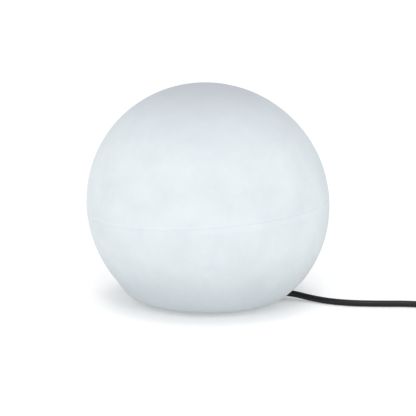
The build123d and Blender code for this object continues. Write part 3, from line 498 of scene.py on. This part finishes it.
# %% Wall
wall_thickness = 3.0 * MM
edge_rounding = 1.4 * MM
finish_piece(globe)
apply_modifier(globe, "wall", "SOLIDIFY", thickness=wall_thickness, offset=-1.0, use_even_offset=True)
only(globe)
bpy.ops.object.mode_set(mode="EDIT")


def on_recess_edge(point):
    """True on the ring where the flat rim meets the recess."""
    return abs(point.xy.length - recess_radius) < 0.1 * MM and abs(point.z - underside) < 0.1 * MM


pick(globe, "EDGE", lambda a, b: on_recess_edge(a) and on_recess_edge(b))
bpy.ops.mesh.bevel(offset=edge_rounding, segments=3, affect="EDGES")
finish_piece(globe)

# %% [markdown]
# A ball like this cools slightly out of round. In the photograph its outline is one percent longer from upper left
# to lower right than a circle, and one and a half percent shorter across. A resize along a tipped pair of axes
# does that to the ball, and proportional editing fades it out towards the rim, which has to fit the base.

# %% Out of round
sag_axes = Matrix.Rotation(radians(36.0), 3, "Y")
sag_stretch = (1.009, 1.0, 0.984)
fade_reach = 22.0 * MM
rim_top = 26.0 * MM
recess_reach, recess_top = 74.0 * MM, 50.0 * MM


def above_rim(point):
    """True on the ball's wall, and not on its rim, recess and seat."""
    return point.z > rim_top and (point.xy.length > recess_reach or point.z > recess_top)


only(globe)
bpy.ops.object.mode_set(mode="EDIT")
chosen = pick(globe, "VERT", above_rim)
bpy.ops.transform.resize(value=sag_stretch, orient_type="GLOBAL", orient_matrix=sag_axes,
                         orient_matrix_type="GLOBAL", center_override=ball_middle, use_proportional_edit=True,
                         proportional_edit_falloff="SMOOTH", proportional_size=fade_reach,
                         use_proportional_connected=True)
only(globe)
print(chosen, "vertices stretched; ball spans", [round(span / MM, 1) for span in globe.dimensions], "mm")

# %% [markdown]
# The cord leaves through an arched tunnel in the rim, on the gland's axis, which points eight degrees towards the
# viewer and seven degrees down. A Boolean cuts the arch. A lining of the same 3 mm wall, trimmed to the ball's own
# outline by a second Boolean, keeps rain out of the ball, as on the solid.

# %% Cord tunnel
exit_azimuth = radians(-8.0)
exit_drop = radians(7.0)
exit_out = Vector((cos(exit_azimuth) * cos(exit_drop), sin(exit_azimuth) * cos(exit_drop), -sin(exit_drop)))
exit_left = Vector((-sin(exit_azimuth), cos(exit_azimuth), 0.0))
exit_up = exit_out.cross(exit_left)
gland_root = Vector((40.0 * cos(exit_azimuth), 40.0 * sin(exit_azimuth), 15.0)) * MM
gland_turn = Matrix((exit_left, exit_up, exit_out)).transposed().to_euler()
drawn_down = 30.0 * MM


def arch(name, half_width, start, length):
    """Prism along the gland's axis: round above, drawn down past the ground below."""
    middle = gland_root + exit_out * (start + length / 2)
    prism = start_piece(name, bpy.ops.mesh.primitive_cylinder_add, vertices=40, radius=half_width,
                        depth=length, location=middle, rotation=gland_turn)
    pick(prism, "VERT", lambda point: (point - gland_root).dot(exit_up) < -same_place)
    bpy.ops.transform.translate(value=-exit_up * drawn_down)
    only(prism)
    return prism


tunnel = arch("tunnel_cutter", half_width=6.8 * MM, start=24.0 * MM, length=80.0 * MM)
lining = arch("tunnel_lining", half_width=9.8 * MM, start=31.5 * MM, length=50.0 * MM)
# the form that trims the lining is a little smaller than the ball, so that no two faces lie in one place
inset = 0.2 * MM
ball_form = start_piece("ball_form", bpy.ops.mesh.primitive_uv_sphere_add, segments=144, ring_count=96,
                        radius=ball_radius - inset, location=ball_middle)
bpy.ops.mesh.select_all(action="SELECT")
bpy.ops.mesh.bisect(plane_co=(0.0, 0.0, touch.y), plane_no=(0.0, 0.0, 1.0), clear_inner=True)
now = Vector((touch.x, touch.y))
for step in range(1, corner_steps + 1):
    angle = touch_angle + (-pi / 2 - touch_angle) * step / corner_steps
    draw_ring(corner_middle.x + (corner_radius - inset) * cos(angle),
              corner_middle.y + (corner_radius - inset) * sin(angle))
bpy.ops.mesh.edge_face_add()
finish_piece(ball_form)
apply_modifier(lining, "outline", "BOOLEAN", object=ball_form, operation="INTERSECT", solver="EXACT")
apply_modifier(lining, "arch", "BOOLEAN", object=tunnel, operation="DIFFERENCE", solver="EXACT")
apply_modifier(globe, "arch", "BOOLEAN", object=tunnel, operation="DIFFERENCE", solver="EXACT")
only(globe)
lining.select_set(True)
bpy.ops.object.join()
only(globe)
bpy.ops.object.shade_smooth_by_angle(angle=radians(30.0))
discard(tunnel, ball_form)
globe.data.materials.clear()
globe.data.materials.append(opal)
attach(globe, "globe")
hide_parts("globe_shell")
print("ball has", len(globe.data.polygons), "faces")

# %% [markdown]
# ## Floor and light
# The photograph is a product picture on plain white. The floor is a pale sheet that catches the ball's soft
# shadow, and shows white where nothing shades it. A white sheet in even light would need more light than the ball
# can bear, so what the camera sees of it is lifted, a little less under the ball, as a painted shadow that deepens
# the real one.

# %% Floor
shadow_reach, open_reach = 110.0 * MM, 160.0 * MM


def pale_stage(material, painted_shadow_lift, far_lift):
    """Diffuse sheet; what the camera and mirrors see of it is lifted to white, less under the ball as a painted
    shadow.
    """
    tree = material.node_tree
    tree.nodes.clear()
    sheet = node(material, "ShaderNodeBsdfDiffuse", {"Color": colour("#E7E7E7")})
    spot = node(material, "ShaderNodeTexCoord").outputs["Object"]
    reach = node(material, "ShaderNodeVectorMath", {0: spot}, operation="LENGTH")
    # painted shadow: the lift is smaller under the ball, so the floor there is greyer
    share = node(material, "ShaderNodeMapRange",
                 {"Value": reach.outputs["Value"], "From Min": shadow_reach, "From Max": open_reach,
                  "To Min": painted_shadow_lift, "To Max": far_lift}, interpolation_type="SMOOTHSTEP")
    lift = node(material, "ShaderNodeMath", {0: seen_directly(material), 1: share.outputs["Result"]},
                operation="MULTIPLY")
    white = node(material, "ShaderNodeEmission", {"Color": (1.0, 1.0, 1.0, 1.0), "Strength": lift.outputs[0]})
    both = node(material, "ShaderNodeAddShader", {0: sheet.outputs[0], 1: white.outputs[0]})
    node(material, "ShaderNodeOutputMaterial", {"Surface": both.outputs[0]})


only(None)
bpy.ops.mesh.primitive_plane_add(size=60.0, location=(0.0, 0.0, 0.0))
floor = bpy.context.object
floor.name = "floor"
floor_material = bpy.data.materials.new("floor_sheet")
floor_material.use_nodes = True
pale_stage(floor_material, painted_shadow_lift=0.24, far_lift=0.4)
floor.data.materials.append(floor_material)
print("floor is", floor.dimensions.x, "m wide")

# %% [markdown]
# The ball is brightest towards the viewer and has no hard highlight, so the light is an even sky, a wide soft box
# behind the viewer and another above. A small lamp draws the sheen that the photograph shows along the cord.

# %% Sky and lamps
world = bpy.data.worlds.new("studio")
bpy.context.scene.world = world
world.use_nodes = True
# the camera, mirrors and glass see a plain white sky, while what it sheds on the scene is less
sky_strength = 0.6
level = node(world, "ShaderNodeMix", {"Factor": seen_directly(world), "A": sky_strength, "B": 1.0},
             data_type="FLOAT")
background = world.node_tree.nodes["Background"]
background.inputs["Color"].default_value = (1.0, 1.0, 1.0, 1.0)
world.node_tree.links.new(level.outputs[0], background.inputs["Strength"])


def soft_sun(name, azimuth, height, spread, strength):
    """Distant lamp as wide as its spread; azimuth 0 is behind the camera, and a negative one to its left."""
    data = bpy.data.lights.new(name, "SUN")
    data.angle = radians(spread)
    data.energy = strength
    lamp = bpy.data.objects.new(name, data)
    bpy.context.scene.collection.objects.link(lamp)
    turn, rise = radians(azimuth), radians(height)
    toward_lamp = Vector((sin(turn) * cos(rise), -cos(turn) * cos(rise), sin(rise)))
    lamp.rotation_euler = toward_lamp.to_track_quat("Z", "Y").to_euler()


soft_sun("front_light", -4.0, 22.0, 90.0, 0.61)
soft_sun("top_light", 0.0, 85.0, 90.0, 0.34)
soft_sun("sheen_light", 0.0, 55.0, 9.0, 0.19)
bpy.context.scene.view_settings.view_transform = "Standard"
print(len(bpy.data.lights), "lamps and a sky of strength", sky_strength)

# %% [markdown]
# ## Cord's finish and facts
# The sheath is extruded rubber: black, with a narrow sheen along its top, a very fine grain and a little dust. The
# grain is drawn nearly a millimetre wide, coarser than real, so that it shows.

# %% Cord rubber
rubber_grain_mm = 0.9
dust_size_mm = 22.0
rubber, rubber_shader = new_material("cord_rubber_extruded")
place = node(rubber, "ShaderNodeTexCoord").outputs["Object"]
grain = node(rubber, "ShaderNodeTexNoise", {"Vector": place, "Scale": 1 / (rubber_grain_mm * MM),
                                            "Detail": 3.0})
dust = node(rubber, "ShaderNodeTexNoise", {"Vector": place, "Scale": 1 / (dust_size_mm * MM), "Detail": 3.0})
tone = node(rubber, "ShaderNodeMix", {"Factor": dust.outputs["Fac"], "A": colour("#08090A"),
                                      "B": colour("#0F1011")}, data_type="RGBA")
shine = node(rubber, "ShaderNodeMapRange", {"Value": grain.outputs["Fac"], "To Min": 0.24, "To Max": 0.32})
bump = node(rubber, "ShaderNodeBump", {"Height": grain.outputs["Fac"], "Strength": 0.05,
                                       "Distance": 0.04 * MM})
link_skin(rubber, rubber_shader, tone, shine, bump)
rubber_shader.inputs["IOR"].default_value = 1.52
rubber_shader.inputs["Specular IOR Level"].default_value = 0.3
cord_curve.materials.append(rubber)
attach(cord, "base")
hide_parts("cord_run", "cord_coil", "cord_tail")
print(cord.name, "stands for the solids' three stretches of cord")

# %% [markdown]
# ## Bend relief
# A rubber cord frays where it is bent at a hard edge, so a tapered sleeve with cross grooves is moulded on it where
# it leaves the gland. It starts from a cylinder on the gland's axis. Planes cut it into rings, and each ring is then
# made a little smaller than the last, with those at the bottom of a groove smaller still.

# %% Bend relief at the gland
gland_tip = route[0]
relief_length = 22.0 * MM
relief_start, relief_end = 5.9 * MM, 4.5 * MM
relief_sunk = 0.5 * MM
relief_edge = 0.2 * MM
groove_depth = 0.8 * MM
groove_count, groove_spacing = 6, 3.0
groove_edges = (2.6, 3.0, 4.0, 4.4)
relief_middle = gland_tip + exit_out * (relief_length / 2 - relief_sunk)
relief = start_piece("gland_bend_relief", bpy.ops.mesh.primitive_cylinder_add, vertices=40,
                     radius=relief_start, depth=relief_length, location=relief_middle, rotation=gland_turn)
ring_places = [(edge + groove_spacing * groove) * MM
               for groove in range(groove_count) for edge in groove_edges]
for along in ring_places:
    bpy.ops.mesh.select_all(action="SELECT")
    bpy.ops.mesh.bisect(plane_co=gland_tip + exit_out * along, plane_no=exit_out)
for count, along in enumerate(ring_places + [relief_length - relief_sunk]):
    middle = gland_tip + exit_out * along
    taper = relief_start + (relief_end - relief_start) * along / relief_length
    # of a groove's four rings, the middle two are its bottom
    depth = groove_depth if count % 4 in (1, 2) and count < len(ring_places) else 0.0
    pick(relief, "VERT", lambda point: abs((point - middle).dot(exit_out)) < 0.05 * MM)
    share = (taper - depth) / relief_start
    bpy.ops.transform.resize(value=(share, share, share), center_override=middle)
finish_piece(relief)
apply_modifier(relief, "soft_edges", "BEVEL", width=relief_edge, segments=2, limit_method="ANGLE",
               angle_limit=radians(35.0))
finish_piece(relief, smooth=45.0)
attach(relief, "base")

# %% [markdown]
# ## Plug's grip
# The plug is moulded in one with its cable boot. A moulder gives such a plug finger ribs on its upper face. Each rib
# is the same small bar, made once and copied along by an array. The bars reach into the body, which carries them.

# %% Plug's grip ribs
plug_low, plug_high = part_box("plug_body")
plug_middle = (plug_low + plug_high) / 2
rib_length, rib_width, rib_height = 22.0 * MM, 2.0 * MM, 1.2 * MM
first_rib = 20.0 * MM
rib_spacing = 4.2 * MM
rib_count = 5
rib_edge = 0.35 * MM
rib_middle = Vector((plug_middle.x, plug_low.y + first_rib, plug_high.z + 0.1 * MM))
rib_top_share = (0.93, 0.5, 1.0)
grip = start_piece("plug_grip_ribs", bpy.ops.mesh.primitive_cube_add, size=1.0,
                   scale=(rib_length, rib_width, rib_height), location=rib_middle)
pick(grip, "VERT", lambda point: point.z > rib_middle.z)
bpy.ops.transform.resize(value=rib_top_share, center_override=rib_middle)
finish_piece(grip)
apply_modifier(grip, "soft_edges", "BEVEL", width=rib_edge, segments=3)
apply_modifier(grip, "along", "ARRAY", count=rib_count, use_relative_offset=False, use_constant_offset=True,
               constant_offset_displace=(0.0, rib_spacing, 0.0))
print(rib_count, "grip ribs span", [round(span / MM, 1) for span in grip.dimensions], "mm")

# %% [markdown]
# ## Finishes of the parts underneath
# Most of what the ball hides is moulded or turned in quantity. Such a surface shows three things: a base tone that
# wanders softly, a grain that the mould or tool left, and a shine that follows the grain. One function sets up those
# three from real sizes in millimetres. What is special, such as a glaze, a glow or turning marks, is added to the
# material that has it.

# %% Base tone, grain and shine
def surface(name, dark, light, wander_mm, grain_mm, shine, relief_mm, ior=1.5, metallic=0.0,
            stretch=(1, 1, 1)):
    """Material with a wandering tone and a grain that drives shine and bump; stretch draws the grain out."""
    material, shader = new_material(name)
    spot = node(material, "ShaderNodeTexCoord").outputs["Object"]
    drawn = node(material, "ShaderNodeMapping", {"Vector": spot, "Scale": stretch})
    wander = node(material, "ShaderNodeTexNoise", {"Vector": spot, "Scale": 1 / (wander_mm * MM),
                                                   "Detail": 3.0})
    marks = node(material, "ShaderNodeTexNoise", {"Vector": drawn.outputs["Vector"],
                                                  "Scale": 1 / (grain_mm * MM), "Detail": 2.0})
    tones = node(material, "ShaderNodeMix", {"Factor": wander.outputs["Fac"], "A": colour(dark),
                                             "B": colour(light)}, data_type="RGBA")
    gloss = node(material, "ShaderNodeMapRange", {"Value": marks.outputs["Fac"], "From Min": 0.3,
                                                  "From Max": 0.7, "To Min": shine[0], "To Max": shine[1]})
    bumps = node(material, "ShaderNodeBump", {"Height": marks.outputs["Fac"], "Strength": 0.35,
                                              "Distance": relief_mm * MM})
    link_skin(material, shader, tones, gloss, bumps)
    shader.inputs["Metallic"].default_value = metallic
    if not metallic:
        shader.inputs["IOR"].default_value = ior
    return material


def shader_of(material):
    """Principled shader of a material that surface() made."""
    return material.node_tree.nodes["Principled BSDF"]


print("finishes so far:", opal.name, "and", rubber.name)

# %% [markdown]
# The slots in the record say which material each solid has. Each gets its two tones, the spans over which they
# wander, its grain and its shine. The same black plastic looks different by how it was made, so the names say that.

# %% Moulded plastics and rubbers
finishes = {
    # injection-moulded ABS in a spark-eroded mould: even, dull, with a fine pitted grain
    "black_abs": surface("abs_spark_grained", "#191A1C", "#222326", 30.0, 0.7, (0.44, 0.6), 0.06, 1.54),
    # the cover inside is the same moulding in white: brighter, grain just visible
    "white_abs": surface("white_abs_grained", "#DADBD8", "#E3E4E1", 35.0, 0.8, (0.38, 0.5), 0.04, 1.54),
    # compression-moulded rubber: nearly no shine, a little dusty
    "black_rubber": surface("foot_rubber_moulded", "#131314", "#242425", 14.0, 0.9, (0.7, 0.88), 0.08, 1.52),
    # die-cut sponge rubber: dull, with open cells a millimetre apart
    "epdm_seal": surface("epdm_sponge_cut", "#161617", "#222223", 8.0, 1.1, (0.8, 0.95), 0.15, 1.5),
    # polyamide gland: satin from a polished mould, faint flow marks
    "black_nylon": surface("polyamide_satin", "#141517", "#1D1E20", 18.0, 0.6, (0.32, 0.42), 0.02, 1.53),
    # the tie is the same polyamide, smoother
    "nylon_tie": surface("polyamide_tie", "#101112", "#191A1B", 12.0, 0.5, (0.28, 0.38), 0.02, 1.53),
    # soft PVC-like rubber moulded on the cord: matt, a fine leathery grain
    "plug_rubber": surface("plug_rubber_moulded", "#121314", "#1C1D1F", 16.0, 0.8, (0.5, 0.66), 0.06, 1.52),
    # lampholder: thermoset-like polyester with glass fibre, a hard dull gloss
    "black_thermoplastic": surface("glass_filled_polyester", "#121213", "#1B1B1D", 16.0, 0.4, (0.26, 0.36),
                                   0.02, 1.57),
    # polycarbonate lamp housing: smooth, hard, glossy white
    "white_polycarbonate": surface("white_polycarbonate_moulded", "#D2D2CE", "#DBDBD7", 24.0, 1.2, (0.16, 0.24),
                                   0.01, 1.58),
    # extruded PVC cores: glossy, drawn lengthwise
    "brown_core": surface("brown_pvc_extruded", "#4A2814", "#5A3219", 9.0, 0.6, (0.24, 0.34), 0.02, 1.53),
    "blue_core": surface("blue_pvc_extruded", "#1C4F9C", "#2660B0", 9.0, 0.6, (0.24, 0.34), 0.02, 1.53),
    # solder mask over glass-epoxy: green, slightly uneven, with a lacquer's shine
    "green_board": surface("solder_mask_green", "#0E4A28", "#17613A", 3.0, 0.5, (0.25, 0.35), 0.02, 1.55),
    # potted electronics: black epoxy, glossy with slight waves
    "black_epoxy": surface("epoxy_potted", "#121214", "#1C1C1F", 5.0, 2.0, (0.18, 0.3), 0.05, 1.56),
    # white solder mask on aluminium: flat and bright, to throw light forward
    "white_aluminium_board": surface("white_mask_on_aluminium", "#DCDCD8", "#E6E6E2", 10.0, 0.7, (0.35, 0.45),
                                     0.02, 1.5),
}
print(len(finishes), "moulded finishes")

# %% [markdown]
# Metals have no tone of their own beyond their reflection, so grain and shine carry them. A turned part has rings
# round its axis: the grain is squeezed along Z and drawn out across it. Plating softens the marks and leaves a
# little cloudiness. The default IOR stays, as a metal's colour already holds its reflection.

# %% Metals
finishes.update({
    # turned free-cutting brass, uncoated: warm, with tool rings
    "brass": surface("brass_turned", "#B08D4C", "#C4A15C", 6.0, 0.5, (0.24, 0.38), 0.02, metallic=1.0,
                     stretch=(0.08, 0.08, 1)),
    # rolled spring bronze: redder, slightly tarnished
    "phosphor_bronze": surface("phosphor_bronze_rolled", "#9C6B43", "#B37F52", 5.0, 0.5, (0.26, 0.42), 0.02,
                               metallic=1.0, stretch=(1, 0.08, 1)),
    # pressed brass with a bright nickel coat: almost a mirror, faint drawing lines
    "nickel_plated_brass": surface("nickel_bright_on_brass", "#BDB8AE", "#CBC7BE", 7.0, 0.6, (0.14, 0.26),
                                   0.01, metallic=1.0, stretch=(1, 1, 0.1)),
    # cold-headed stainless screws: bright, lightly scratched
    "stainless_steel": surface("stainless_cold_headed", "#A9A9A6", "#B8B8B5", 4.0, 0.4, (0.24, 0.36), 0.02,
                               metallic=1.0),
    # zinc plate on steel: bluish, a little cloudy
    "zinc_plated_steel": surface("zinc_plate_blue", "#A4A8AB", "#B6BABC", 3.0, 0.5, (0.3, 0.46), 0.02,
                                 metallic=1.0),
    # a cooled drop of solder: dull silver with shallow wrinkles
    "tin_solder": surface("tin_solder_cooled", "#A2A2A0", "#B2B2B0", 2.0, 0.9, (0.32, 0.5), 0.08,
                          metallic=1.0),
})
print(len(finishes), "finishes with the metals")

# %% [markdown]
# Three finishes need something of their own. The lampholder's insert is porcelain, cream-white under a clear glaze
# that a coat gives. The bulb's dome and its LEDs give light, so they glow, the dome with a soft falloff towards its
# rim, where the wall turns away from the LEDs. The glass round the cap's contact needs only its tone, nearly black,
# and a very smooth skin.

# %% Porcelain, lamp glass, bulb dome and LEDs
porcelain = surface("porcelain_glazed", "#D9D4C6", "#E6E2D6", 12.0, 1.6, (0.3, 0.4), 0.02, 1.5)
shader_of(porcelain).inputs["Coat Weight"].default_value = 0.6
shader_of(porcelain).inputs["Coat Roughness"].default_value = 0.08
lamp_glass = surface("vitrified_cap_glass", "#17121C", "#231B2A", 4.0, 1.0, (0.06, 0.12), 0.01, 1.52)

rim_glow, dome_full_glow, led_glow = 0.12, 0.3, 1.5
rim_share = 0.3
dome = surface("opal_polycarbonate_blown", "#BFC5C7", "#C8CDCF", 20.0, 1.4, (0.4, 0.5), 0.01, 1.58)
dome_low, dome_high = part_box("bulb_diffuser")
dome_place = node(dome, "ShaderNodeTexCoord").outputs["Object"]
dome_height = node(dome, "ShaderNodeSeparateXYZ", {"Vector": dome_place})
dome_glow = node(dome, "ShaderNodeMapRange",
                 {"Value": dome_height.outputs["Z"], "From Min": dome_low.z,
                  "From Max": dome_low.z + rim_share * (dome_high.z - dome_low.z),
                  "To Min": rim_glow, "To Max": dome_full_glow}, interpolation_type="SMOOTHSTEP")
dome.node_tree.links.new(dome_glow.outputs["Result"], shader_of(dome).inputs["Emission Strength"])
shader_of(dome).inputs["Emission Color"].default_value = colour("#F6FBFF")

phosphor = surface("phosphor_in_silicone", "#D9B53A", "#EBCB55", 1.5, 0.3, (0.3, 0.4), 0.02, 1.45)
shader_of(phosphor).inputs["Emission Color"].default_value = colour("#FFF6DC")
shader_of(phosphor).inputs["Emission Strength"].default_value = led_glow
finishes.update({"porcelain": porcelain, "lamp_cap_glass": lamp_glass, "opal_polycarbonate": dome,
                 "led_phosphor": phosphor, "cord_rubber": rubber})
print(len(finishes), "finishes in all")

# %% [markdown]
# Each solid came in with one empty material, named like the slot in its record. The finish takes its place there.
# The short end of cord inside the base gets the cord's own rubber. The bend relief and the grip ribs are moulded, not
# extruded, so they take the plug rubber's duller finish.

# %% Finishes on the solids
dressed = 0
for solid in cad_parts.values():
    for slot in solid.material_slots:
        slot_name = slot.material.name.split(".")[0]
        if slot_name in finishes:
            slot.material = finishes[slot_name]
            dressed += 1
print(dressed, "solids have their finish")

for moulded_on in (relief, grip):
    moulded_on.data.materials.clear()
    moulded_on.data.materials.append(finishes["plug_rubber"])
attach(grip, "base")
